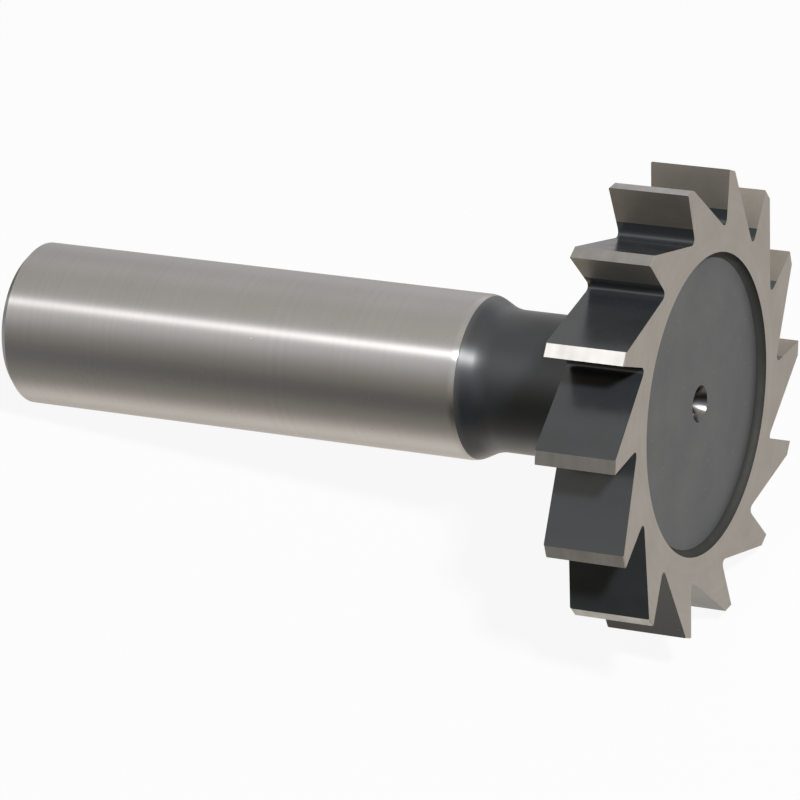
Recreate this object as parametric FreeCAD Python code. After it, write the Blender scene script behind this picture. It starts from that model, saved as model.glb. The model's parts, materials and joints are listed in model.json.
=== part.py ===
# Half-moon keyseat cutter: one solid piece of tool steel, a straight shank, a
# necked section and a thin toothed head with straight side-hollowed teeth.
# Lengths are millimetres and angles are degrees.
# The piece is built along +X, from the end of the shank to the cutting face,
# and is then turned into the pose in which it lies on a flat surface (z = 0).
import FreeCAD, Part
import math
import os

V = FreeCAD.Vector

# Driving dimensions of the whole tool.
overall_length = 57.4
head_diameter = 35.1
head_width = 6.35
shank_diameter = 12.7
shank_end_chamfer = 0.6

# Neck behind the head: a rounded shoulder, a short cone and a long fillet.
shoulder_from_face = 18.7
shoulder_round = 1.5
shoulder_slope = 27.0
neck_fillet = 3.0
neck_diameter = 10.85
neck_to_head_fillet = 0.9

# Teeth: straight, parallel to the axis, right-hand cut.
tooth_count = 14
rake_angle = 8.0
land_width = 1.05
land_relief = 7.0
gullet_depth = 4.4
gullet_root_radius = 0.45
tooth_corner_chamfer = 0.08

# Both sides of the head are ground hollow, so only the tips are full width.
side_hollow_angle = 2.0

# Turned recess in the cutting face.
recess_radius = 11.43
recess_depth = 0.65
recess_corner_radius = 0.6

# Centre holes in both ends, a 60 degree seat with a short pilot.
centre_mouth_diameter = 2.8
centre_pilot_diameter = 1.2
centre_pilot_length = 1.3
centre_seat_half_angle = 30.0
centre_point_half_angle = 59.0

# How far a tool shape runs past the metal that it cuts.
cutting_margin = 1.0

head_radius = head_diameter / 2.0
shank_radius = shank_diameter / 2.0
neck_radius = neck_diameter / 2.0
pitch_angle = 2.0 * math.pi / tooth_count
head_back = overall_length - head_width
rim_radius = head_radius - tooth_corner_chamfer


def polar(radius, angle):
    """Point of a cross-section, as a pair (y, z)."""
    return (radius * math.cos(angle), radius * math.sin(angle))


def tooth_tip(index):
    """Cutting edge of one tooth in the cross-section."""
    return polar(head_radius, index * pitch_angle)


def tooth_heel(index):
    """Far edge of the relieved land of one tooth."""
    angle = index * pitch_angle
    tip = tooth_tip(index)
    along = land_width * math.cos(math.radians(land_relief))
    inward = land_width * math.sin(math.radians(land_relief))
    heel_y = tip[0] + along * math.sin(angle) - inward * math.cos(angle)
    heel_z = tip[1] - along * math.cos(angle) - inward * math.sin(angle)
    return (heel_y, heel_z)


def gullet_corner(index):
    """Sharp corner in which the rake face meets the back of the next tooth."""
    angle = index * pitch_angle
    tip = tooth_tip(index)
    aside = gullet_depth * math.tan(math.radians(rake_angle))
    corner_y = tip[0] - gullet_depth * math.cos(angle) + aside * math.sin(angle)
    corner_z = tip[1] - gullet_depth * math.sin(angle) - aside * math.cos(angle)
    return (corner_y, corner_z)


def side_drop(radius):
    """How far the hollow side of the head lies below the tips at a radius."""
    return (rim_radius - radius) * math.tan(math.radians(side_hollow_angle))


def cross(point, x):
    """Cross-section pair to a vector at a station along the axis."""
    return V(x, point[0], point[1])


def rounded_corner(before, corner, after, radius):
    """Tangent points and middle of the arc that rounds a corner."""
    first = before.sub(corner)
    second = after.sub(corner)
    half = first.getAngle(second) / 2.0
    room = 0.45 * min(first.Length, second.Length)
    reach = min(radius / math.tan(half), room)
    fitted = reach * math.tan(half)
    first.normalize()
    second.normalize()
    middle_way = first.add(second)
    middle_way.normalize()
    start = corner.add(V(first).multiply(reach))
    end = corner.add(V(second).multiply(reach))
    inset = fitted / math.sin(half) - fitted
    middle = corner.add(V(middle_way).multiply(inset))
    return start, middle, end


def toothed_prism():
    """Straight prism with the outline of all the teeth."""
    edges = []
    start_x = head_back - cutting_margin
    for index in range(tooth_count):
        tip = cross(tooth_tip(index), start_x)
        corner = cross(gullet_corner(index), start_x)
        heel = cross(tooth_heel(index + 1), start_x)
        next_tip = cross(tooth_tip(index + 1), start_x)
        if index == tooth_count - 1:
            next_tip = cross(tooth_tip(0), start_x)
            heel = cross(tooth_heel(0), start_x)
        root_in, root_middle, root_out = rounded_corner(tip, corner, heel, gullet_root_radius)
        edges.append(Part.makeLine(tip, root_in))
        edges.append(Part.Arc(root_in, root_middle, root_out).toShape())
        edges.append(Part.makeLine(root_out, heel))
        edges.append(Part.makeLine(heel, next_tip))
    face = Part.Face(Part.Wire(edges))
    return face.extrude(V(head_width + 2.0 * cutting_margin, 0, 0))


def turned(points):
    """Solid of revolution about the X axis from (x, radius) corner points."""
    corners = [V(x, radius, 0) for x, radius in points]
    corners.append(corners[0])
    face = Part.Face(Part.makePolygon(corners))
    return face.revolve(V(0, 0, 0), V(1, 0, 0), 360.0)


def head_envelope():
    """Turned shape that gives the head its hollow sides and corner chamfers."""
    outer = head_radius + cutting_margin
    beyond = outer - rim_radius
    centre_drop = side_drop(0.0)
    points = [
        (head_back + centre_drop, 0.0),
        (head_back, rim_radius),
        (head_back + beyond, outer),
        (overall_length - beyond, outer),
        (overall_length, rim_radius),
        (overall_length - centre_drop, 0.0),
    ]
    return turned(points)


def toothed_head():
    """Head of the cutter, before the recess is turned."""
    return toothed_prism().common(head_envelope())


def shank_and_neck():
    """Turned body from the end of the shank to the inside of the head."""
    slope = math.radians(shoulder_slope)
    drop = shank_radius - neck_radius
    rounding = min(shoulder_round, 0.35 * drop / (1.0 - math.cos(slope)))
    fillet = min(neck_fillet, 0.60 * drop / (1.0 - math.cos(slope)))
    cone_drop = drop - (rounding + fillet) * (1.0 - math.cos(slope))
    x_start = overall_length - shoulder_from_face
    x_cone = x_start + rounding * math.sin(slope)
    r_cone = shank_radius - rounding * (1.0 - math.cos(slope))
    x_fillet = x_cone + cone_drop / math.tan(slope)
    r_fillet = r_cone - cone_drop
    x_neck = x_fillet + fillet * math.sin(slope)
    half = slope / 2.0
    round_middle = V(
        x_start + rounding * math.sin(half),
        shank_radius - rounding * (1.0 - math.cos(half)),
        0,
    )
    fillet_middle = V(
        x_neck - fillet * math.sin(half),
        neck_radius + fillet * (1.0 - math.cos(half)),
        0,
    )
    blend = neck_to_head_fillet
    x_side = head_back + side_drop(neck_radius + blend)
    x_inside = (head_back + recess_floor()) / 2.0
    diagonal = blend * (1.0 - math.sqrt(0.5))
    blend_start = V(x_side - blend, neck_radius, 0)
    blend_middle = V(x_side - diagonal, neck_radius + diagonal, 0)
    blend_end = V(x_side, neck_radius + blend, 0)
    p_axis = V(0, 0, 0)
    p_end = V(0, shank_radius - shank_end_chamfer, 0)
    p_chamfer = V(shank_end_chamfer, shank_radius, 0)
    p_shoulder = V(x_start, shank_radius, 0)
    p_cone = V(x_cone, r_cone, 0)
    p_fillet = V(x_fillet, r_fillet, 0)
    p_neck = V(x_neck, neck_radius, 0)
    p_hub = V(x_inside, neck_radius + blend, 0)
    p_last = V(x_inside, 0, 0)
    edges = [
        Part.makeLine(p_axis, p_end),
        Part.makeLine(p_end, p_chamfer),
        Part.makeLine(p_chamfer, p_shoulder),
        Part.Arc(p_shoulder, round_middle, p_cone).toShape(),
        Part.makeLine(p_cone, p_fillet),
        Part.Arc(p_fillet, fillet_middle, p_neck).toShape(),
        Part.makeLine(p_neck, blend_start),
        Part.Arc(blend_start, blend_middle, blend_end).toShape(),
        Part.makeLine(blend_end, p_hub),
        Part.makeLine(p_hub, p_last),
        Part.makeLine(p_last, p_axis),
    ]
    face = Part.Face(Part.Wire(edges))
    return face.revolve(V(0, 0, 0), V(1, 0, 0), 360.0)


def recess_floor():
    """Station of the flat bottom of the recess."""
    return overall_length - side_drop(recess_radius) - recess_depth


def face_recess():
    """Turned recess, flat bottom and a rounded corner below a straight wall."""
    floor = recess_floor()
    corner = min(recess_corner_radius, 0.95 * recess_depth)
    bend = corner * (1.0 - math.sqrt(0.5))
    open_x = overall_length + cutting_margin
    round_start = V(floor, recess_radius - corner, 0)
    round_middle = V(floor + bend, recess_radius - bend, 0)
    round_end = V(floor + corner, recess_radius, 0)
    edges = [
        Part.makeLine(V(floor, 0, 0), round_start),
        Part.Arc(round_start, round_middle, round_end).toShape(),
        Part.makeLine(round_end, V(open_x, recess_radius, 0)),
        Part.makeLine(V(open_x, recess_radius, 0), V(open_x, 0, 0)),
        Part.makeLine(V(open_x, 0, 0), V(floor, 0, 0)),
    ]
    face = Part.Face(Part.Wire(edges))
    return face.revolve(V(0, 0, 0), V(1, 0, 0), 360.0)


def centre_hole(mouth_x, inward):
    """Centre hole from a face at mouth_x, going in the direction +1 or -1."""
    mouth = centre_mouth_diameter / 2.0
    pilot = centre_pilot_diameter / 2.0
    flare = math.tan(math.radians(centre_seat_half_angle))
    seat = (mouth - pilot) / flare
    point = pilot / math.tan(math.radians(centre_point_half_angle))
    straight = seat + centre_pilot_length
    above = cutting_margin
    points = [
        (mouth_x - above * inward, 0.0),
        (mouth_x - above * inward, mouth + above * flare),
        (mouth_x + seat * inward, pilot),
        (mouth_x + straight * inward, pilot),
        (mouth_x + (straight + point) * inward, 0.0),
    ]
    return turned(points)


def cutter_on_axis():
    """The whole cutter, its axis on X and one cutting edge at +Y."""
    body = shank_and_neck().fuse(toothed_head())
    body = body.cut(face_recess())
    body = body.cut(centre_hole(recess_floor(), -1.0))
    body = body.cut(centre_hole(0.0, 1.0))
    return body.removeSplitter()


def lying_angles():
    """Turn about the axis and lift of the head when the cutter lies flat.

    It touches the surface with the cutting edge of one tooth, the heel of the
    next tooth and the end of the shank.
    """
    edge = tooth_tip(0)
    heel = tooth_heel(1)
    heel_radius = math.hypot(heel[0], heel[1])
    x_edge = head_back + tooth_corner_chamfer
    x_heel = x_edge - (head_radius - heel_radius)
    along = edge[0] - heel[0]
    across = edge[1] - heel[1]
    reach = math.hypot(along, across)
    lift = 0.2
    down = 0.0
    for _ in range(12):
        step = (x_edge - x_heel) * math.tan(lift)
        down = math.atan2(across, along) + math.acos(step / reach)
        depth = edge[0] * math.cos(down) + edge[1] * math.sin(down)
        lift = math.atan((depth - shank_radius) / (x_edge - shank_end_chamfer))
    return down, lift


def laid_down(shape):
    """Lying pose: the lowest point at z = 0, the middle over the origin."""
    down, lift = lying_angles()
    laid = shape.copy()
    laid.rotate(V(0, 0, 0), V(1, 0, 0), -90.0 - math.degrees(down))
    laid.rotate(V(0, 0, 0), V(0, 1, 0), -math.degrees(lift))
    box = laid.optimalBoundingBox(True, False)
    middle_x = (box.XMin + box.XMax) / 2.0
    middle_y = (box.YMin + box.YMax) / 2.0
    laid.translate(V(-middle_x, -middle_y, -box.ZMin))
    return laid


def main():
    cutter = laid_down(cutter_on_axis())
    solid = cutter.Solids[0]
    down, lift = lying_angles()
    box = solid.optimalBoundingBox(True, False)
    print("solids", len(cutter.Solids), "valid", solid.isValid(), "faces", len(solid.Faces))
    print("volume mm3", round(solid.Volume, 2), "lift deg", round(math.degrees(lift), 4))
    print("turn deg", round(math.degrees(down), 4))
    print("box min", round(box.XMin, 4), round(box.YMin, 4), round(box.ZMin, 4))
    print("box max", round(box.XMax, 4), round(box.YMax, 4), round(box.ZMax, 4))
    placed = cutter.Placement
    print("placement", placed.Base, placed.Rotation.Q)
    os.makedirs("parts", exist_ok=True)
    solid.exportStep("parts/keyseat_cutter.step")


main()
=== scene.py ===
"""Looks of a half-moon keyseat cutter: its finished mesh, its steel, the studio and the camera.

The cutter is modelled on its own axis in millimetres, from the end of the shank (x = 0) to the
cutting face, and is then laid on the floor in the place of the CAD node that it stands for.
"""

import json
import logging
import math
from collections.abc import Callable
from dataclasses import dataclass
from enum import Enum

import bmesh
import bpy
from mathutils import Matrix, Vector

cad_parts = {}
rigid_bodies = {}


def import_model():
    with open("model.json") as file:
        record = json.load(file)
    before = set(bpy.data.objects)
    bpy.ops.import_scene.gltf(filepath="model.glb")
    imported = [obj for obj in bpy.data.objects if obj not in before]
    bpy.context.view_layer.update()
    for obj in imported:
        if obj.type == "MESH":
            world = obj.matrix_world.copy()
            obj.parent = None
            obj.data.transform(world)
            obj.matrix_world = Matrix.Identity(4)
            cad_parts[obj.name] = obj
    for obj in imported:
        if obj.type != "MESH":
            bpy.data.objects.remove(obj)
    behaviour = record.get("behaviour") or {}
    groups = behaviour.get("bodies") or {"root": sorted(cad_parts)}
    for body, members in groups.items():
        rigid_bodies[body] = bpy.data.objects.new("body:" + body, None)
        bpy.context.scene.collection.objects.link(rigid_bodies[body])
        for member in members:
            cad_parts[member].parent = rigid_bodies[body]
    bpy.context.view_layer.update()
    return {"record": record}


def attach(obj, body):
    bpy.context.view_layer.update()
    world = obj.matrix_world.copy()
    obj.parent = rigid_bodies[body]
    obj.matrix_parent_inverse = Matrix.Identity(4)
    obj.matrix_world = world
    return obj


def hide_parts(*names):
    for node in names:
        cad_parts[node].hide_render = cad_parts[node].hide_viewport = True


LOG = logging.getLogger("keyseat_cutter")

MM = 0.001
CAD_NODE = "keyseat_cutter"
CAD_BODY = "root"
WHEEL_MARKS = "wheel_marks"
WELD_DISTANCE = 0.0005
PLACE_TOLERANCE = 0.003

PlaceTest = Callable[[Vector], bool]
EdgeTest = Callable[[bmesh.types.BMEdge], bool]
Span = tuple[float, float]
Tone = tuple[float, float, float]
Setting = float | tuple[float, ...] | bpy.types.NodeSocket


class Finish(Enum):
    """The finishes of the cutter's surfaces, in the order of its material slots."""

    GROUND_SHANK = 0
    GROUND_SIDE = 1
    GROUND_LAND = 2
    GROUND_RAKE = 3
    MILLED_OXIDE = 4
    TURNED_OXIDE = 5
    RECESS_OXIDE = 6
    CENTRE_SEAT = 7
    # Painted shade: a dark tone laid along the wall of the recess.
    RECESS_WALL_PAINTED_SHADE = 8


class Side(Enum):
    """The two sides of the head, with the direction along the axis in which each one faces."""

    REAR = -1
    FRONT = 1


@dataclass(frozen=True)
class CutterSizes:
    """Driving dimensions of the cutter, in millimetres and degrees."""

    overall_length: float = 57.4
    head_diameter: float = 35.1
    head_width: float = 6.35
    shank_diameter: float = 12.7
    shank_end_chamfer: float = 0.6
    shoulder_from_face: float = 18.7
    ground_shank_from_face: float = 18.2
    shoulder_round: float = 1.5
    shoulder_slope: float = 27.0
    neck_fillet: float = 3.0
    neck_diameter: float = 10.85
    neck_to_head_fillet: float = 0.9
    tooth_count: int = 14
    rake_angle: float = 8.0
    land_width: float = 1.05
    land_relief: float = 7.0
    gullet_depth: float = 4.4
    gullet_root_radius: float = 0.45
    tooth_corner_chamfer: float = 0.08
    ground_rake_depth: float = 3.0
    side_hollow_angle: float = 2.0
    rear_ground_radius: float = 8.4
    web_radius: float = 12.3
    recess_radius: float = 11.43
    recess_depth: float = 0.65
    recess_corner_radius: float = 0.6
    centre_mouth_diameter: float = 2.8
    centre_pilot_diameter: float = 1.2
    centre_pilot_length: float = 1.3
    centre_seat_half_angle: float = 30.0
    centre_point_half_angle: float = 59.0

    @property
    def head_radius(self) -> float:
        """Radius at the cutting edges."""
        return self.head_diameter / 2.0

    @property
    def shank_radius(self) -> float:
        """Radius of the shank."""
        return self.shank_diameter / 2.0

    @property
    def neck_radius(self) -> float:
        """Radius of the neck."""
        return self.neck_diameter / 2.0

    @property
    def head_back(self) -> float:
        """Station of the rear side of the head at the cutting edges."""
        return self.overall_length - self.head_width

    @property
    def ground_shank_end(self) -> float:
        """Station at which the shank's ground surface gives way to oxide."""
        return self.overall_length - self.ground_shank_from_face

    @property
    def pitch(self) -> float:
        """Angle from one tooth to the next, in radians."""
        return 2.0 * math.pi / self.tooth_count

    def side_drop(self, radius: float) -> float:
        """How far a hollow side lies below the tips at a radius, never less than nothing."""
        rim = self.head_radius - self.tooth_corner_chamfer
        return max(0.0, rim - radius) * math.tan(math.radians(self.side_hollow_angle))

    def side_station(self, side: Side, radius: float) -> float:
        """Station of one side of the head.

        Args:
            side: The side.
            radius: Distance from the axis.

        Returns:
            Where the hollow side lies along the axis at that radius.
        """
        if side is Side.FRONT:
            return self.overall_length - self.side_drop(radius)
        return self.head_back + self.side_drop(radius)

    @property
    def recess_floor(self) -> float:
        """Station of the flat bottom of the recess."""
        return self.side_station(Side.FRONT, self.recess_radius) - self.recess_depth


def on_section(radius: float, angle: float, x: float = 0.0) -> Vector:
    """Point of the cross-section at station x, from its radius and its angle from +Y."""
    return Vector((x, radius * math.cos(angle), radius * math.sin(angle)))


def radius_of(point: Vector) -> float:
    """Distance of a point from the cutter's axis."""
    return math.hypot(point.y, point.z)


class Bench:
    """A mesh held in edit mode, on which the modelling operators act as by hand."""

    def __init__(self, name: str, start: Vector) -> None:
        """Opens a new mesh that holds one vertex.

        Args:
            name: Name of the new object.
            start: Place of the vertex.
        """
        bpy.ops.object.select_all(action="DESELECT")
        bpy.ops.mesh.primitive_plane_add(size=1.0, location=(0.0, 0.0, 0.0))
        self.piece = bpy.context.active_object
        self.piece.name = name
        self.piece.data.name = name
        bpy.ops.object.mode_set(mode="EDIT")
        bpy.ops.mesh.merge(type="CENTER")
        bpy.ops.transform.translate(value=start)

    def draw_to(self, *points: Vector) -> None:
        """Extrudes the selected vertex from point to point, and leaves the last one selected.

        Args:
            points: The places to reach, in order.
        """
        mesh = bmesh.from_edit_mesh(self.piece.data)
        here = next(vertex.co.copy() for vertex in mesh.verts if vertex.select)
        for point in points:
            bpy.ops.mesh.extrude_region_move(TRANSFORM_OT_translate={"value": point - here})
            here = point

    def select_points(self, test: PlaceTest) -> None:
        """Selects only the vertices that pass a test, with the edges and faces between them.

        Args:
            test: Says of a vertex's place whether it is wanted.
        """
        bpy.ops.mesh.select_mode(type="VERT")
        bpy.ops.mesh.select_all(action="DESELECT")
        mesh = bmesh.from_edit_mesh(self.piece.data)
        for vertex in mesh.verts:
            if test(vertex.co):
                vertex.select_set(True)
        mesh.select_flush(True)
        bmesh.update_edit_mesh(self.piece.data)

    def select_edges(self, test: EdgeTest) -> None:
        """Selects only the edges that pass a test.

        Args:
            test: Says of an edge whether it is wanted.
        """
        bpy.ops.mesh.select_mode(type="EDGE")
        bpy.ops.mesh.select_all(action="DESELECT")
        mesh = bmesh.from_edit_mesh(self.piece.data)
        for edge in mesh.edges:
            if test(edge):
                edge.select_set(True)
        bmesh.update_edit_mesh(self.piece.data)

    def round_points(self, places: list[Vector], reach: float, segments: int) -> None:
        """Rounds corners of an outline.

        Args:
            places: The corners.
            reach: Distance from a corner to where its round begins.
            segments: Number of straight pieces in each round.
        """
        self.select_points(lambda co: any((co - place).length < PLACE_TOLERANCE for place in places))
        bpy.ops.mesh.bevel(offset=reach, segments=segments, profile=0.5, affect="VERTICES")

    def weld(self) -> None:
        """Merges the vertices that lie on each other."""
        bpy.ops.mesh.select_mode(type="VERT")
        bpy.ops.mesh.select_all(action="SELECT")
        bpy.ops.mesh.remove_doubles(threshold=WELD_DISTANCE)

    def close(self) -> bpy.types.Object:
        """Leaves edit mode and returns the object that was being shaped."""
        bpy.ops.object.mode_set(mode="OBJECT")
        return self.piece


@dataclass(frozen=True)
class Corner:
    """A corner of a turned profile."""

    x: float
    radius: float
    reach: float = 0.0

    @property
    def place(self) -> Vector:
        """The corner in the plane in which profiles are drawn."""
        return Vector((self.x, self.radius, 0.0))


@dataclass(frozen=True)
class TurnedPart:
    """A surface of revolution about the cutter's axis."""

    name: str
    corners: tuple[Corner, ...]
    steps: int
    round_segments: int = 8

    def build(self) -> bpy.types.Object:
        """Draws the profile, rounds its corners and spins it.

        Returns:
            The turned mesh.
        """
        bench = Bench(self.name, self.corners[0].place)
        bench.draw_to(*(corner.place for corner in self.corners[1:]))
        for corner in self.corners:
            if corner.reach:
                bench.round_points([corner.place], corner.reach, self.round_segments)
        bpy.ops.mesh.select_all(action="SELECT")
        bpy.ops.mesh.spin(steps=self.steps, angle=2.0 * math.pi, center=(0, 0, 0), axis=(1, 0, 0))
        bench.weld()
        return bench.close()


@dataclass(frozen=True)
class TurnedBody:
    """The turned surfaces: shank, neck and rear hub on one side, recess on the other."""

    sizes: CutterSizes
    steps: int = 168
    # Reach of the painted shade, a dark band inward from the wall of the recess.
    painted_shade_reach: float = 0.48

    def centre_hole(self, mouth_x: float, inward: float) -> tuple[Corner, ...]:
        """Profile of a centre hole, from its point out to its mouth.

        Args:
            mouth_x: Station of the surface that it is drilled in.
            inward: +1 if it goes in along +X, else -1.

        Returns:
            The corners, the mouth's included.
        """
        sizes = self.sizes
        mouth = sizes.centre_mouth_diameter / 2.0
        pilot = sizes.centre_pilot_diameter / 2.0
        seat = (mouth - pilot) / math.tan(math.radians(sizes.centre_seat_half_angle))
        straight = seat + sizes.centre_pilot_length
        point = straight + pilot / math.tan(math.radians(sizes.centre_point_half_angle))
        return (
            Corner(mouth_x + inward * point, 0.0),
            Corner(mouth_x + inward * straight, pilot),
            Corner(mouth_x + inward * seat, pilot),
            Corner(mouth_x, mouth),
        )

    def shank_side(self) -> TurnedPart:
        """Draws the profile from the shank's centre hole to the web behind the teeth.

        Returns:
            The part, not yet built.
        """
        sizes = self.sizes
        slope = math.radians(sizes.shoulder_slope)
        shoulder = sizes.overall_length - sizes.shoulder_from_face
        round_reach = sizes.shoulder_round * math.tan(slope / 2.0)
        fillet_reach = sizes.neck_fillet * math.tan(slope / 2.0)
        cone_top = shoulder + round_reach
        cone_foot = cone_top + (sizes.shank_radius - sizes.neck_radius) / math.tan(slope)
        hub_x = sizes.side_station(Side.REAR, sizes.neck_radius)
        corners = (
            *self.centre_hole(0.0, 1.0),
            Corner(0.0, sizes.shank_radius - sizes.shank_end_chamfer),
            Corner(sizes.shank_end_chamfer, sizes.shank_radius),
            Corner(cone_top, sizes.shank_radius, round_reach),
            Corner(cone_foot, sizes.neck_radius, fillet_reach),
            Corner(hub_x, sizes.neck_radius, sizes.neck_to_head_fillet),
            Corner(sizes.side_station(Side.REAR, sizes.rear_ground_radius), sizes.rear_ground_radius),
            Corner(sizes.side_station(Side.REAR, sizes.web_radius), sizes.web_radius),
        )
        return TurnedPart("shank_side", corners, self.steps)

    def face_side(self) -> TurnedPart:
        """Draws the profile from the centre hole of the recess to the web in front of the teeth.

        Returns:
            The part, not yet built.
        """
        sizes = self.sizes
        floor = sizes.recess_floor
        rim = sizes.side_station(Side.FRONT, sizes.recess_radius)
        corners = (
            *self.centre_hole(floor, -1.0),
            Corner(floor, sizes.recess_radius, sizes.recess_corner_radius),
            Corner(rim, sizes.recess_radius),
            Corner(sizes.side_station(Side.FRONT, sizes.web_radius), sizes.web_radius),
        )
        return TurnedPart("face_side", corners, self.steps)

    def finish_of(self, centre: Vector) -> Finish:
        """Finish of a turned face.

        Args:
            centre: Middle of the face.

        Returns:
            Ground on the shank and the sides, a rough oxide darkened as painted shade along the wall
            of the recess, and the finish of a drilled seat in the centre holes.
        """
        sizes = self.sizes
        radius = radius_of(centre)
        if centre.x > sizes.recess_floor - PLACE_TOLERANCE:
            if radius > sizes.recess_radius + PLACE_TOLERANCE:
                return Finish.GROUND_SIDE
            # Faces near the wall take a dark tone: painted shade in the recess.
            in_painted_shade = radius > sizes.recess_radius - self.painted_shade_reach
            return Finish.RECESS_WALL_PAINTED_SHADE if in_painted_shade else Finish.RECESS_OXIDE
        if radius < sizes.centre_mouth_diameter / 2.0:
            return Finish.CENTRE_SEAT
        if centre.x > sizes.head_back and radius > sizes.rear_ground_radius:
            return Finish.GROUND_SIDE
        on_shank = PLACE_TOLERANCE < centre.x < sizes.ground_shank_end
        if on_shank and radius > sizes.neck_radius:
            return Finish.GROUND_SHANK
        return Finish.TURNED_OXIDE


@dataclass(frozen=True)
class ToothedHead:
    """The ring of teeth, with their flanks and both sides, out from the web."""

    sizes: CutterSizes
    steps: int = 168
    root_segments: int = 6
    side_tilt: float = 50.0

    def from_edge(self, index: int, depth: float, aside: float) -> Vector:
        """Point of a tooth's section, at station 0.

        Args:
            index: Number of the tooth, counted round from +Y.
            depth: How far below the cutting edge, along the radius.
            aside: How far from it, square to the radius.

        Returns:
            The point.
        """
        angle = index * self.sizes.pitch
        inward = on_section(depth, angle)
        sideways = on_section(aside, angle + math.pi / 2.0)
        return on_section(self.sizes.head_radius, angle) - inward - sideways

    def along_rake(self, index: int, depth: float) -> Vector:
        """Point of a tooth's rake face, at a depth below its cutting edge."""
        return self.from_edge(index, depth, depth * math.tan(math.radians(self.sizes.rake_angle)))

    def heel(self, index: int) -> Vector:
        """Point of the edge in which the land of a tooth meets its back."""
        relief, land = math.radians(self.sizes.land_relief), self.sizes.land_width
        return self.from_edge(index, land * math.sin(relief), land * math.cos(relief))

    def outline(self) -> Bench:
        """Draws one tooth from gullet to gullet and repeats it all round.

        Returns:
            The bench with the closed outline of the head, its gullets rounded.
        """
        sizes = self.sizes
        depth = sizes.gullet_depth
        bench = Bench("toothed_head", self.along_rake(0, depth))
        bench.draw_to(
            self.heel(1),
            self.along_rake(1, 0.0),
            self.along_rake(1, sizes.ground_rake_depth),
            self.along_rake(1, depth),
        )
        bpy.ops.mesh.select_all(action="SELECT")
        copies = sizes.tooth_count - 1
        bpy.ops.mesh.spin(
            steps=copies, angle=copies * sizes.pitch, dupli=True, center=(0, 0, 0), axis=(1, 0, 0)
        )
        bench.weld()
        corner = self.along_rake(0, depth)
        back = self.heel(1) - corner
        opening = back.angle(self.along_rake(0, 0.0) - corner)
        reach = sizes.gullet_root_radius / math.tan(opening / 2.0)
        corners = [self.along_rake(index, depth) for index in range(sizes.tooth_count)]
        bench.round_points(corners, reach, self.root_segments)
        return bench

    def radii(self, bench: Bench) -> list[float]:
        """Finds the different radii at which the outline has points.

        Args:
            bench: The bench with the outline.

        Returns:
            Each radius once.
        """
        mesh = bmesh.from_edit_mesh(bench.piece.data)
        found: list[float] = []
        for vertex in mesh.verts:
            radius = radius_of(vertex.co)
            if all(abs(radius - known) > PLACE_TOLERANCE for known in found):
                found.append(radius)
        return found

    def build(self) -> bpy.types.Object:
        """Extrudes the outline across the head, hollows both sides and closes them.

        Returns:
            The mesh of the teeth, open where the web's rings are.
        """
        sizes = self.sizes
        bench = self.outline()
        radii = self.radii(bench)
        bpy.ops.mesh.select_all(action="SELECT")
        bpy.ops.transform.translate(value=(sizes.head_back, 0.0, 0.0))
        bpy.ops.mesh.extrude_region_move(TRANSFORM_OT_translate={"value": (sizes.head_width, 0.0, 0.0)})
        for side in Side:
            flat = sizes.overall_length if side is Side.FRONT else sizes.head_back
            for radius in radii:
                shift = sizes.side_station(side, radius) - flat
                if not shift:
                    continue
                bench.select_points(
                    lambda co, flat=flat, radius=radius: abs(co.x - flat) < PLACE_TOLERANCE
                    and abs(radius_of(co) - radius) < PLACE_TOLERANCE
                )
                bpy.ops.transform.translate(value=(shift, 0.0, 0.0))
        for side in Side:
            self.close_side(bench, side)
        bench.weld()
        bpy.ops.mesh.normals_make_consistent(inside=False)
        self.chamfer_lands(bench)
        return bench.close()

    def chamfer_lands(self, bench: Bench) -> None:
        """Takes off the corners in which the lands meet the sides of the head.

        Args:
            bench: The bench with the closed teeth.
        """
        sizes = self.sizes
        heel_radius = radius_of(self.heel(0))

        def land_end(edge: bmesh.types.BMEdge) -> bool:
            """Says whether an edge runs round a land at one of its ends.

            Args:
                edge: An edge of the head.

            Returns:
                Whether its corner is taken off.
            """
            first, second = (vertex.co for vertex in edge.verts)
            outside = min(radius_of(first), radius_of(second)) > heel_radius - PLACE_TOLERANCE
            return outside and abs(first.x - second.x) < PLACE_TOLERANCE

        bench.select_edges(land_end)
        bpy.ops.mesh.bevel(offset=sizes.tooth_corner_chamfer, segments=1, affect="EDGES")

    def finish_of(self, centre: Vector, normal: Vector) -> Finish:
        """Finish of a face of the head.

        Args:
            centre: Middle of the face.
            normal: Its direction.

        Returns:
            Ground on the sides, the lands and the outer part of the rake faces, else oxide.
        """
        sizes = self.sizes
        if abs(normal.x) > math.cos(math.radians(self.side_tilt)):
            return Finish.GROUND_SIDE
        if radius_of(centre) > radius_of(self.heel(0)) - sizes.tooth_corner_chamfer:
            return Finish.GROUND_LAND
        turning = Vector((1.0, 0.0, 0.0)).cross(centre)
        facing_cut = normal.dot(turning) > 0.0
        ground_from = radius_of(self.along_rake(0, sizes.ground_rake_depth))
        if facing_cut and radius_of(centre) > ground_from:
            return Finish.GROUND_RAKE
        return Finish.MILLED_OXIDE

    def close_side(self, bench: Bench, side: Side) -> None:
        """Fills one side between the teeth's outline and a ring on the web.

        Args:
            bench: The bench with the open teeth.
            side: The side to fill.
        """
        sizes = self.sizes
        station = sizes.side_station(side, sizes.web_radius)
        bpy.ops.mesh.select_all(action="DESELECT")
        bpy.ops.mesh.primitive_circle_add(
            vertices=self.steps,
            radius=sizes.web_radius,
            location=(station, 0.0, 0.0),
            rotation=(0.0, math.pi / 2.0, 0.0),
        )
        middle = sizes.overall_length - sizes.head_width / 2.0
        off_middle = sizes.head_width / 3.0

        def on_side(edge: bmesh.types.BMEdge) -> bool:
            """Says whether both ends of an edge lie on this side."""
            return all((vertex.co.x - middle) * side.value > off_middle for vertex in edge.verts)

        bench.select_edges(on_side)
        bpy.ops.mesh.fill(use_beauty=True)


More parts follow.
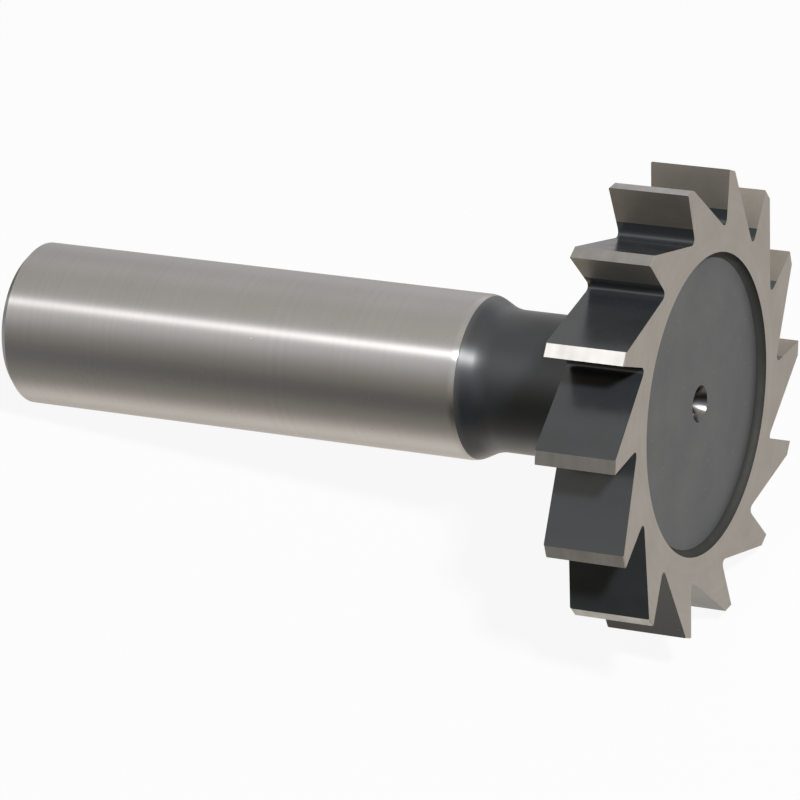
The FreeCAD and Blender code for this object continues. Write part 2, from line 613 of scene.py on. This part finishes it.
@dataclass
class Cutter:
    """The whole cutter: its surfaces joined into one closed piece, dressed and laid in place."""

    sizes: CutterSizes
    record: dict
    smooth_angle: float = 30.0

    def build(self, finishes: list[bpy.types.Material]) -> bpy.types.Object:
        """Models, dresses and places the cutter.

        Args:
            finishes: The materials, in the order of Finish.

        Returns:
            The finished piece.
        """
        body = TurnedBody(self.sizes)
        head = ToothedHead(self.sizes)
        turned = [body.shank_side().build(), body.face_side().build()]
        toothed = head.build()
        for piece in (*turned, toothed):
            for finish in finishes:
                piece.data.materials.append(finish)
        for piece in turned:
            for face in piece.data.polygons:
                face.material_index = body.finish_of(face.center).value
        for face in toothed.data.polygons:
            face.material_index = head.finish_of(face.center, face.normal).value
        whole = self.join([*turned, toothed])
        self.settle_order(whole)
        bpy.ops.object.shade_smooth_by_angle(angle=math.radians(self.smooth_angle))
        self.lay_wheel_marks(whole)
        self.lay_down(whole)
        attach(whole, CAD_BODY)
        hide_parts(CAD_NODE)
        return whole

    def join(self, pieces: list[bpy.types.Object]) -> bpy.types.Object:
        """Joins the surfaces where they share a ring of points.

        Args:
            pieces: The surfaces.

        Returns:
            One closed mesh with its faces outwards.
        """
        bpy.ops.object.select_all(action="DESELECT")
        for piece in pieces:
            piece.select_set(True)
        bpy.context.view_layer.objects.active = pieces[0]
        bpy.ops.object.join()
        whole = bpy.context.active_object
        whole.name = "cutter"
        whole.data.name = "cutter"
        bpy.ops.object.mode_set(mode="EDIT")
        bpy.ops.mesh.select_all(action="SELECT")
        bpy.ops.mesh.remove_doubles(threshold=WELD_DISTANCE)
        bpy.ops.mesh.normals_make_consistent(inside=False)
        inside_out = bmesh.from_edit_mesh(whole.data).calc_volume(signed=True) < 0.0
        if inside_out:
            bpy.ops.mesh.flip_normals()
        bpy.ops.object.mode_set(mode="OBJECT")
        return whole

    def settle_order(self, whole: bpy.types.Object) -> None:
        """Puts the faces in an order of their own, which merging points leaves to chance.

        Args:
            whole: The closed mesh.
        """
        mesh = whole.data
        points = [vertex.co.copy() for vertex in mesh.vertices]
        faces: list[tuple[list[int], int]] = []
        for face in mesh.polygons:
            ring = list(face.vertices)
            first = ring.index(min(ring))
            faces.append((ring[first:] + ring[:first], face.material_index))
        faces.sort()
        mesh.clear_geometry()
        mesh.from_pydata(points, [], [ring for ring, _ in faces])
        mesh.polygons.foreach_set("material_index", [finish for _, finish in faces])
        mesh.update()

    def lay_wheel_marks(self, whole: bpy.types.Object) -> None:
        """Lays a UV map in millimetres, its U across the marks of the tools and its V along them.

        Args:
            whole: The closed mesh, on the cutter's own axis.
        """
        layer = whole.data.uv_layers.new(name=WHEEL_MARKS)
        axis = Vector((1.0, 0.0, 0.0))
        vertices = whole.data.vertices
        around_x = {Finish.GROUND_SHANK.value, Finish.GROUND_LAND.value, Finish.CENTRE_SEAT.value}
        for face in whole.data.polygons:
            middle = face.center
            facing = math.atan2(middle.z, middle.y)
            reach = radius_of(middle)
            flat_side = abs(face.normal.x) > math.cos(math.radians(self.smooth_angle))
            turned = face.material_index in around_x or reach < self.sizes.recess_radius
            across = face.normal.cross(axis)
            for loop in face.loop_indices:
                place = vertices[whole.data.loops[loop].vertex_index].co
                turn = math.remainder(math.atan2(place.z, place.y) - facing, 2.0 * math.pi)
                if flat_side:
                    mark = (radius_of(place), (facing + turn) * self.sizes.web_radius)
                elif turned:
                    mark = (place.x, (facing + turn) * self.sizes.shank_radius)
                else:
                    mark = (across.dot(place), place.x)
                layer.data[loop].uv = mark

    def lay_down(self, whole: bpy.types.Object) -> None:
        """Moves the cutter from its own axis to its lying place, in metres.

        Args:
            whole: The dressed mesh, in millimetres.
        """
        whole.matrix_world = self.placement() @ Matrix.Scale(MM, 4)
        bpy.ops.object.select_all(action="DESELECT")
        whole.select_set(True)
        bpy.context.view_layer.objects.active = whole
        bpy.ops.object.transform_apply(location=True, rotation=True, scale=True)

    def turn_down(self) -> float:
        """Works out the turn that sets one cutting edge and the next heel on the floor.

        Returns:
            The turn about the axis, in radians.
        """
        head = ToothedHead(self.sizes)
        edge = head.along_rake(0, 0.0)
        heel = head.heel(1)
        reach = edge - heel
        width = math.hypot(reach.y, reach.z)
        step = (self.sizes.head_radius - radius_of(heel)) * math.tan(self.lift())
        return math.atan2(reach.z, reach.y) + math.acos(step / width)

    def shank_axis(self) -> Vector:
        """Direction of the axis towards the head, from the record's shank mount."""
        mount = self.record["mounts"][0]
        return -Vector(mount["axis"]).normalized()

    def lift(self) -> float:
        """Angle by which the head stands higher than the end of the shank."""
        return math.asin(self.shank_axis().z)

    def placement(self) -> Matrix:
        """Works out the lying place from the record's shank mount, the lift and the turn.

        Returns:
            Place of the cutter's own frame in the row frame, in metres.
        """
        sizes = self.sizes
        middle = Vector(self.record["mounts"][0]["pos_m"])
        clamped = sizes.overall_length - sizes.shoulder_from_face + sizes.shank_end_chamfer
        rear = middle - self.shank_axis() * (clamped / 2.0 * MM)
        turn = Matrix.Rotation(-math.pi / 2.0 - self.turn_down(), 4, "X")
        return Matrix.Translation(rear) @ Matrix.Rotation(-self.lift(), 4, "Y") @ turn


class Desk:
    """A node tree that is being wired."""

    def __init__(self, tree: bpy.types.NodeTree) -> None:
        """Starts on an empty tree."""
        self.tree = tree
        tree.nodes.clear()

    def node(
        self, kind: str, inputs: dict[int | str, Setting] | None = None, **options: object
    ) -> bpy.types.Node:
        """Adds a node.

        Args:
            kind: Its type, without the prefix ShaderNode.
            inputs: Values or linked sockets for its inputs.
            options: Its other settings.

        Returns:
            The new node.
        """
        name = kind if kind.startswith("Node") else f"ShaderNode{kind}"
        made = self.tree.nodes.new(name)
        for key, option in options.items():
            setattr(made, key, option)
        for key, setting in (inputs or {}).items():
            if isinstance(setting, bpy.types.NodeSocket):
                self.tree.links.new(setting, made.inputs[key])
            else:
                made.inputs[key].default_value = setting
        return made

    def math(self, operation: str, *terms: Setting) -> bpy.types.NodeSocket:
        """Adds a Math node and returns its result."""
        return self.node("Math", dict(enumerate(terms)), operation=operation).outputs[0]

    def vector(self, operation: str, *terms: Setting, result: str = "Vector") -> bpy.types.NodeSocket:
        """Adds a Vector Math node and returns its vector or its value."""
        return self.node("VectorMath", dict(enumerate(terms)), operation=operation).outputs[result]

    def scaled(self, vector: Setting, factor: Setting) -> bpy.types.NodeSocket:
        """Multiplies a vector or a colour by a number."""
        return self.node("VectorMath", {0: vector, "Scale": factor}, operation="SCALE").outputs[0]

    def ramp(self, value: Setting, given: Span, wanted: Span = (0.0, 1.0)) -> bpy.types.NodeSocket:
        """Maps a value from one span to another, held at both ends."""
        spans = {"From Min": given[0], "From Max": given[1], "To Min": wanted[0], "To Max": wanted[1]}
        return self.node("MapRange", {"Value": value, **spans}).outputs["Result"]

    def blend(self, share: Setting, first: Setting, second: Setting) -> bpy.types.NodeSocket:
        """Mixes two colours."""
        return self.node("Mix", {0: share, 6: first, 7: second}, data_type="RGBA").outputs[2]

    def noise(
        self, place: Setting, detail: float, roughness: float = 0.5, scale: float = 1.0
    ) -> bpy.types.NodeSocket:
        """Adds a noise texture and returns its value."""
        inputs = {"Vector": place, "Scale": scale, "Detail": detail, "Roughness": roughness}
        return self.node("TexNoise", inputs).outputs[0]

    def effect(self, group: bpy.types.NodeTree, inputs: dict[str, Setting]) -> bpy.types.NodeOutputs:
        """Places a shared effect with its own values, and returns its outputs."""
        return self.node("Group", inputs, node_tree=group).outputs


class GroupDesk(Desk):
    """The node tree of a shared effect, with named inputs and outputs."""

    def __init__(self, name: str, inputs: dict[str, str], outputs: dict[str, str]) -> None:
        """Opens a new group.

        Args:
            name: Name of the group.
            inputs: Kinds of its inputs, by name.
            outputs: Kinds of its outputs, by name.
        """
        super().__init__(bpy.data.node_groups.new(name, "ShaderNodeTree"))
        for sockets, way in ((inputs, "INPUT"), (outputs, "OUTPUT")):
            for label, kind in sockets.items():
                self.tree.interface.new_socket(label, in_out=way, socket_type=f"NodeSocket{kind}")
        self.given = self.node("NodeGroupInput").outputs
        self.results = self.node("NodeGroupOutput").inputs

    def give(self, label: str, value: bpy.types.NodeSocket) -> None:
        """Links a value to an output of the group."""
        self.tree.links.new(value, self.results[label])

    def place_over(self, size: str) -> bpy.types.NodeSocket:
        """The group's given place, divided by one of its given sizes."""
        return self.scaled(self.given["Place"], self.math("DIVIDE", 1.0, self.given[size]))


class Effects:
    """The surface effects that the finishes share, each built once as a node group."""

    streak_scale: float = 0.21
    cloud_span: Span = (0.32, 0.68)
    speck_edge: Span = (0.06, 0.14)

    def __init__(self) -> None:
        """Builds the groups."""
        self.wheel_lines = self.build_wheel_lines()
        self.clouding = self.build_clouding()
        self.specks = self.build_specks()

    def build_wheel_lines(self) -> bpy.types.NodeTree:
        """Wires the fine lines that a wheel or a cutting edge leaves, closed round a turned surface.

        Returns:
            The group: the height of the lines and their broad streaks.
        """
        desk = GroupDesk(
            "wheel_lines",
            {"Marks": "Vector", "Wrap Radius": "Float", "Pitch": "Float", "Run": "Float"},
            {"Height": "Float", "Streak": "Float"},
        )
        marks = desk.node("SeparateXYZ", {0: desk.given["Marks"]}).outputs
        angle = desk.math("DIVIDE", marks[1], desk.given["Wrap Radius"])
        reach = desk.math("DIVIDE", desk.given["Wrap Radius"], desk.given["Run"])
        across = desk.math("DIVIDE", marks[0], desk.given["Pitch"])
        ring = [desk.math("MULTIPLY", desk.math(turn, angle), reach) for turn in ("COSINE", "SINE")]
        place = desk.node("CombineXYZ", {0: across, 1: ring[0], 2: ring[1]}).outputs[0]
        desk.give("Height", desk.noise(place, detail=2.0, roughness=0.6))
        desk.give("Streak", desk.noise(place, detail=1.0, scale=self.streak_scale))
        return desk.tree

    def build_clouding(self) -> bpy.types.NodeTree:
        """Wires the soft cloudy change of an oxidised or oiled surface.

        Returns:
            The group: the share of the second tone.
        """
        desk = GroupDesk("clouding", {"Place": "Vector", "Size": "Float"}, {"Cloud": "Float"})
        broad = desk.noise(desk.place_over("Size"), detail=3.0, roughness=0.55)
        desk.give("Cloud", desk.ramp(broad, self.cloud_span))
        return desk.tree

    def build_specks(self) -> bpy.types.NodeTree:
        """Wires sparse specks of dust.

        Returns:
            The group: the share of dust.
        """
        desk = GroupDesk(
            "specks", {"Place": "Vector", "Spacing": "Float", "Share": "Float"}, {"Dust": "Float"}
        )
        cells = desk.node("TexVoronoi", {"Vector": desk.place_over("Spacing"), "Scale": 1.0}).outputs
        near = desk.ramp(cells["Distance"], self.speck_edge, (1.0, 0.0))
        drawn = desk.node("SeparateColor", {0: cells["Color"]}).outputs[0]
        kept = desk.math("LESS_THAN", drawn, desk.given["Share"])
        desk.give("Dust", desk.math("MULTIPLY", near, kept))
        return desk.tree


def colour(tone: Tone) -> tuple[float, float, float, float]:
    """Opaque linear colour."""
    return (*tone, 1.0)


@dataclass(frozen=True)
class ToolMarks:
    """The lines that the making of a surface left on it, in millimetres."""

    pitch: float
    depth: float
    run: float = 25.0
    wrap_radius: float = 6.35
    streaks: float = 0.06


@dataclass(frozen=True)
class SteelFinish:
    """A steel surface: its two tones, its gloss, and the traces of making and use."""

    tone: Tone
    clouded: Tone
    roughness: float
    marks: ToolMarks
    roughness_change: float = 0.04
    cloud_size: float = 5.0
    anisotropy: float = 0.0
    metallic: float = 1.0
    ior: float = 1.5
    bare_tone: Tone = (0.50, 0.48, 0.45)
    dust_share: float = 0.003
    dust_spacing: float = 0.5
    dust_tone: Tone = (0.62, 0.61, 0.59)
    dust_roughness: float = 0.3
    streak_span: Span = (0.3, 0.7)

    def build(self, name: str, effects: Effects, placement: Matrix) -> bpy.types.Material:
        """Wires the material.

        Args:
            name: Name of the material.
            effects: The shared groups.
            placement: Place of the cutter's own frame, on which the patterns are centred.

        Returns:
            The material.
        """
        material = bpy.data.materials.new(name)
        material.use_nodes = True
        desk = Desk(material.node_tree)
        place = self.own_place(desk, placement)
        marks = {
            "Marks": desk.node("UVMap", uv_map=WHEEL_MARKS).outputs[0],
            "Wrap Radius": self.marks.wrap_radius,
            "Pitch": self.marks.pitch,
            "Run": self.marks.run,
        }
        lines = desk.effect(effects.wheel_lines, marks)
        cloud = desk.effect(effects.clouding, {"Place": place, "Size": self.cloud_size})["Cloud"]
        specks = {"Place": place, "Spacing": self.dust_spacing, "Share": self.dust_share}
        dust = desk.effect(effects.specks, specks)["Dust"]
        bare = self.bare_steel(desk, place)
        streaked = (1.0 - self.marks.streaks, 1.0 + self.marks.streaks)
        tone = desk.blend(cloud, colour(self.tone), colour(self.clouded))
        tone = desk.scaled(tone, desk.ramp(lines["Streak"], self.streak_span, streaked))
        if bare is not None:
            tone = desk.blend(bare, tone, colour(self.bare_tone))
        tone = desk.blend(dust, tone, colour(self.dust_tone))
        spread = (self.roughness - self.roughness_change, self.roughness + self.roughness_change)
        dusty = desk.math("MULTIPLY", dust, self.dust_roughness)
        bump = desk.node("Bump", {"Height": lines["Height"], "Distance": self.marks.depth * MM})
        shader = desk.node(
            "BsdfPrincipled",
            {
                "Base Color": tone,
                "Metallic": self.metallic,
                "Roughness": desk.math("ADD", desk.ramp(cloud, (0.0, 1.0), spread), dusty),
                "IOR": self.ior,
                "Anisotropic": self.anisotropy,
                "Normal": bump.outputs[0],
            },
        )
        if self.anisotropy:
            tangent = desk.node("Tangent", direction_type="UV_MAP", uv_map=WHEEL_MARKS)
            desk.tree.links.new(tangent.outputs[0], shader.inputs["Tangent"])
        if bare is not None and self.metallic < 1.0:
            metal = desk.ramp(bare, (0.0, 1.0), (self.metallic, 1.0))
            desk.tree.links.new(metal, shader.inputs["Metallic"])
        desk.node("OutputMaterial", {"Surface": shader.outputs[0]})
        return material

    def own_place(self, desk: Desk, placement: Matrix) -> bpy.types.NodeSocket:
        """Wires coordinates in the cutter's own frame, in millimetres.

        Args:
            desk: The material's node tree.
            placement: Place of that frame in the row frame.

        Returns:
            The coordinates.
        """
        laid = desk.node("TexCoord").outputs["Object"]
        inputs = {
            "Vector": laid,
            "Location": placement.to_translation(),
            "Rotation": placement.to_euler(),
            "Scale": (MM, MM, MM),
        }
        return desk.node("Mapping", inputs, vector_type="TEXTURE").outputs[0]

    def bare_steel(self, desk: Desk, place: bpy.types.NodeSocket) -> bpy.types.NodeSocket | None:
        """Share of bare steel that shows through, or nothing on a finish that is whole."""
        return None


@dataclass(frozen=True)
class ShoulderOxide(SteelFinish):
    """Oxide that thins out towards the ground shank, in millimetres along the axis."""

    thin_share: float = 0.12
    thin_span: Span = (39.2, 39.7)
    shoulder_from: float = 38.2

    def bare_steel(self, desk: Desk, place: bpy.types.NodeSocket) -> bpy.types.NodeSocket:
        """Wires a faint seam of bare steel where the shoulder begins.

        Args:
            desk: The material's node tree.
            place: Coordinates in the cutter's own frame.

        Returns:
            The share of bare steel.
        """
        station = desk.node("SeparateXYZ", {0: place}).outputs[0]
        thin = desk.ramp(station, self.thin_span, (self.thin_share, 0.0))
        on_shoulder = desk.math("GREATER_THAN", station, self.shoulder_from)
        return desk.math("MULTIPLY", thin, on_shoulder)


def cutter_finishes() -> dict[Finish, SteelFinish]:
    """Lists the finish of every surface of the cutter.

    Returns:
        The finishes, by their name.
    """
    return {
        Finish.GROUND_SHANK: SteelFinish(
            tone=(0.545, 0.522, 0.512),
            clouded=(0.530, 0.504, 0.493),
            roughness=0.27,
            roughness_change=0.01,
            cloud_size=9.0,
            anisotropy=1.0,
            marks=ToolMarks(pitch=0.09, depth=0.0002, run=40.0, streaks=0.02),
            dust_share=0.006,
        ),
        Finish.GROUND_SIDE: SteelFinish(
            tone=(0.536, 0.483, 0.445),
            clouded=(0.516, 0.463, 0.425),
            roughness=0.42,
            cloud_size=3.0,
            marks=ToolMarks(pitch=0.14, depth=0.0006, run=18.0, wrap_radius=12.3, streaks=0.025),
            dust_share=0.01,
        ),
        Finish.GROUND_LAND: SteelFinish(
            tone=(0.500, 0.486, 0.470),
            clouded=(0.468, 0.454, 0.436),
            roughness=0.40,
            anisotropy=0.9,
            cloud_size=1.2,
            marks=ToolMarks(pitch=0.12, depth=0.0004, run=5.0, streaks=0.05),
        ),
        Finish.GROUND_RAKE: SteelFinish(
            tone=(0.390, 0.355, 0.312),
            clouded=(0.352, 0.318, 0.276),
            roughness=0.52,
            cloud_size=1.6,
            marks=ToolMarks(pitch=0.16, depth=0.0008, run=6.0, streaks=0.05),
        ),
        Finish.MILLED_OXIDE: SteelFinish(
            tone=(0.033, 0.038, 0.041),
            clouded=(0.036, 0.041, 0.047),
            roughness=0.22,
            metallic=0.0,
            ior=1.72,
            cloud_size=2.2,
            marks=ToolMarks(pitch=0.22, depth=0.0006, run=8.0, streaks=0.05),
        ),
        Finish.TURNED_OXIDE: ShoulderOxide(
            tone=(0.020, 0.024, 0.028),
            clouded=(0.024, 0.027, 0.033),
            roughness=0.33,
            anisotropy=0.55,
            metallic=0.0,
            ior=1.72,
            cloud_size=3.0,
            marks=ToolMarks(pitch=0.18, depth=0.0005, run=30.0, streaks=0.04),
        ),
        Finish.RECESS_OXIDE: SteelFinish(
            tone=(0.198, 0.199, 0.206),
            clouded=(0.188, 0.190, 0.198),
            roughness=0.5,
            metallic=0.8,
            cloud_size=4.0,
            marks=ToolMarks(pitch=0.15, depth=0.0006, run=20.0, streaks=0.02),
            dust_share=0.012,
        ),
        # Painted shade along the wall and corner round of the recess: a dark tone on a rough oxide.
        Finish.RECESS_WALL_PAINTED_SHADE: SteelFinish(
            tone=(0.044, 0.044, 0.040),
            clouded=(0.036, 0.036, 0.033),
            roughness=0.7,
            metallic=0.0,
            cloud_size=2.0,
            marks=ToolMarks(pitch=0.12, depth=0.0004, run=20.0, streaks=0.03),
        ),
        Finish.CENTRE_SEAT: SteelFinish(
            tone=(0.20, 0.195, 0.19),
            clouded=(0.14, 0.135, 0.13),
            roughness=0.24,
            cloud_size=0.8,
            marks=ToolMarks(pitch=0.08, depth=0.0006, run=3.0),
        ),
    }


@dataclass(frozen=True)
class Panel:
    """A soft panel of the light tent round the cutter."""

    direction: tuple[float, float, float]
    radiance: Tone


@dataclass
class Studio:
    """Floor, backdrop, light tent and lamps."""

    floor_radius: float = 1.9
    paper: Tone = (0.93, 0.93, 0.93)
    plain_share: float = 0.92
    cloth: Tone = (0.985, 0.985, 0.985)
    matt_share: float = 0.15
    panel_sharpness: float = 12.0
    panels: tuple[Panel, ...] = (
        Panel((0.25, 0.11, 0.96), (0.90, 0.82, 0.73)),
        Panel((-0.44, 0.16, 0.88), (0.66, 0.67, 0.63)),
        Panel((0.28, -0.52, 0.81), (1.06, 1.14, 1.25)),
        Panel((0.17, 0.66, 0.73), (0.63, 0.62, 0.66)),
        Panel((-0.63, -0.41, 0.65), (0.98, 0.97, 0.95)),
        Panel((-0.53, 0.68, 0.50), (0.66, 0.65, 0.62)),
        Panel((-0.07, -0.90, 0.42), (0.52, 0.47, 0.39)),
        Panel((0.69, 0.64, 0.35), (0.50, 0.46, 0.40)),
        Panel((-0.10, 0.99, 0.12), (0.91, 0.91, 0.92)),
        Panel((0.98, 0.18, -0.04), (0.56, 0.56, 0.57)),
        Panel((0.44, 0.86, -0.27), (0.26, 0.29, 0.22)),
        Panel((-0.88, -0.33, -0.35), (0.99, 1.06, 1.10)),
        Panel((0.84, -0.34, -0.42), (0.57, 0.58, 0.55)),
        Panel((-0.37, 0.78, -0.50), (0.52, 0.49, 0.50)),
        Panel((-0.24, -0.78, -0.58), (0.27, 0.25, 0.21)),
        Panel((0.65, 0.38, -0.65), (0.81, 0.80, 0.81)),
        Panel((-0.67, 0.14, -0.73), (0.30, 0.29, 0.28)),
        Panel((0.34, -0.48, -0.81), (0.50, 0.45, 0.42)),
        Panel((0.06, 0.46, -0.88), (0.85, 0.79, 0.71)),
        Panel((-0.21, -0.18, -0.96), (0.90, 0.87, 0.80)),
    )
    key_direction: tuple[float, float, float] = (0.382, -0.277, 0.882)
    key_distance: float = 0.9
    key_size: float = 0.10
    key_watts: float = 6.0

    def build(self) -> None:
        """Sets up everything round the cutter."""
        self.build_floor()
        self.build_backdrop()
        self.build_tent()
        self.build_key()

    def build_floor(self) -> None:
        """Lays a sheet of white paper that keeps a soft shadow of the cutter.

        Its light stays off the steel, whose reflections are darker near the horizon than white
        paper would make them. The lower panels of the tent stand in for it there.
        """
        bpy.ops.object.select_all(action="DESELECT")
        bpy.ops.mesh.primitive_circle_add(vertices=96, radius=self.floor_radius, fill_type="NGON")
        floor = bpy.context.active_object
        floor.name = "floor"
        paper = bpy.data.materials.new("paper")
        paper.use_nodes = True
        desk = Desk(paper.node_tree)
        lit = desk.node("BsdfDiffuse", {"Color": colour(self.paper)})
        plain = desk.node("Emission", {"Color": colour((1.0, 1.0, 1.0)), "Strength": 1.0})
        ray = desk.node("LightPath").outputs
        seen = desk.math("MAXIMUM", ray["Is Camera Ray"], ray["Is Glossy Ray"])
        seen = desk.math("MAXIMUM", seen, ray["Is Transmission Ray"])
        share = desk.math("MULTIPLY", seen, self.plain_share)
        surface = desk.node("MixShader", {0: share, 1: lit.outputs[0], 2: plain.outputs[0]})
        desk.node("OutputMaterial", {"Surface": surface.outputs[0]})
        floor.data.materials.append(paper)
        floor.visible_diffuse = False
        floor.visible_glossy = False

    def build_backdrop(self) -> None:
        """Hangs a white dome behind everything, which lights nothing."""
        bpy.ops.object.select_all(action="DESELECT")
        bpy.ops.mesh.primitive_uv_sphere_add(segments=64, ring_count=32, radius=self.floor_radius)
        dome = bpy.context.active_object
        dome.name = "backdrop"
        cloth = bpy.data.materials.new("backdrop_cloth")
        cloth.use_nodes = True
        desk = Desk(cloth.node_tree)
        glow = desk.node("Emission", {"Color": colour(self.cloth), "Strength": 1.0})
        desk.node("OutputMaterial", {"Surface": glow.outputs[0]})
        dome.data.materials.append(cloth)
        dome.visible_diffuse = False
        dome.visible_glossy = False
        dome.visible_transmission = False
        dome.visible_shadow = False

    def build_tent(self) -> None:
        """Wires the world: the tent's panels, which mainly show in reflections."""
        world = bpy.data.worlds.new("light_tent")
        world.use_nodes = True
        bpy.context.scene.world = world
        desk = Desk(world.node_tree)
        direction = desk.node("TexCoord").outputs["Generated"]
        light: Setting = (0.0, 0.0, 0.0)
        for panel in self.panels:
            towards = Vector(panel.direction).normalized()
            facing = desk.vector("DOT_PRODUCT", direction, towards, result="Value")
            share = desk.math("POWER", desk.math("MAXIMUM", facing, 0.0), self.panel_sharpness)
            light = desk.vector("ADD", desk.scaled(panel.radiance, share), light)
        matt = desk.node("LightPath").outputs["Is Diffuse Ray"]
        strength = desk.ramp(matt, (0.0, 1.0), (1.0, self.matt_share))
        background = desk.node("Background", {"Color": light, "Strength": strength})
        desk.node("OutputWorld", {"Surface": background.outputs[0]})
        world.cycles.sampling_method = "NONE"

    def build_key(self) -> None:
        """Hangs the key, a small soft box, which draws the bright line along the ground shank."""
        lamp = bpy.data.lights.new("key", "AREA")
        lamp.shape = "SQUARE"
        lamp.size = self.key_size
        lamp.energy = self.key_watts
        hung = bpy.data.objects.new("key", lamp)
        bpy.context.scene.collection.objects.link(hung)
        place = Vector(self.key_direction).normalized() * self.key_distance
        turn = place.to_track_quat("Z", "Y").to_matrix()
        hung.matrix_world = Matrix.Translation(place) @ turn.to_4x4()


@dataclass(frozen=True)
class PhotoCamera:
    """The photograph's camera, as fitted to the cutter's outline. Angles are degrees."""

    heading: float = 23.576
    elevation: float = 45.016
    roll: float = -0.895
    aim: tuple[float, float, float] = (-0.22, 4.50, 4.21)
    distance: float = 404.3
    focal_length: float = 232.88
    sensor_width: float = 36.0

    def build(self) -> None:
        """Places the camera and makes it the scene's."""
        lens = bpy.data.cameras.new("photo_camera")
        lens.lens = self.focal_length
        lens.sensor_width = self.sensor_width
        lens.clip_start = 0.01
        lens.clip_end = 10.0
        camera = bpy.data.objects.new("photo_camera", lens)
        bpy.context.scene.collection.objects.link(camera)
        heading = math.radians(self.heading)
        elevation = math.radians(self.elevation)
        level = math.cos(elevation)
        back = Vector((math.sin(heading) * level, -math.cos(heading) * level, math.sin(elevation)))
        right = Vector((math.cos(heading), math.sin(heading), 0.0))
        turn = Matrix((right, back.cross(right), back)).transposed().to_4x4()
        place = (Vector(self.aim) + back * self.distance) * MM
        roll = Matrix.Rotation(math.radians(self.roll), 4, "Z")
        camera.matrix_world = Matrix.Translation(place) @ turn @ roll
        bpy.context.scene.camera = camera


def main() -> None:
    """Builds the cutter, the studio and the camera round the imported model."""
    logging.basicConfig(level=logging.INFO, format="%(name)s: %(message)s")
    for left_over in list(bpy.data.objects):
        bpy.data.objects.remove(left_over)
    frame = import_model()
    bpy.context.scene.view_settings.view_transform = "Standard"
    cutter = Cutter(CutterSizes(), frame["record"])
    effects = Effects()
    place = cutter.placement()
    looks = cutter_finishes()
    whole = cutter.build([looks[finish].build(finish.name.lower(), effects, place) for finish in Finish])
    LOG.info("%s: %d faces", whole.name, len(whole.data.polygons))
    Studio().build()
    PhotoCamera().build()


if __name__ == "__main__":
    main()
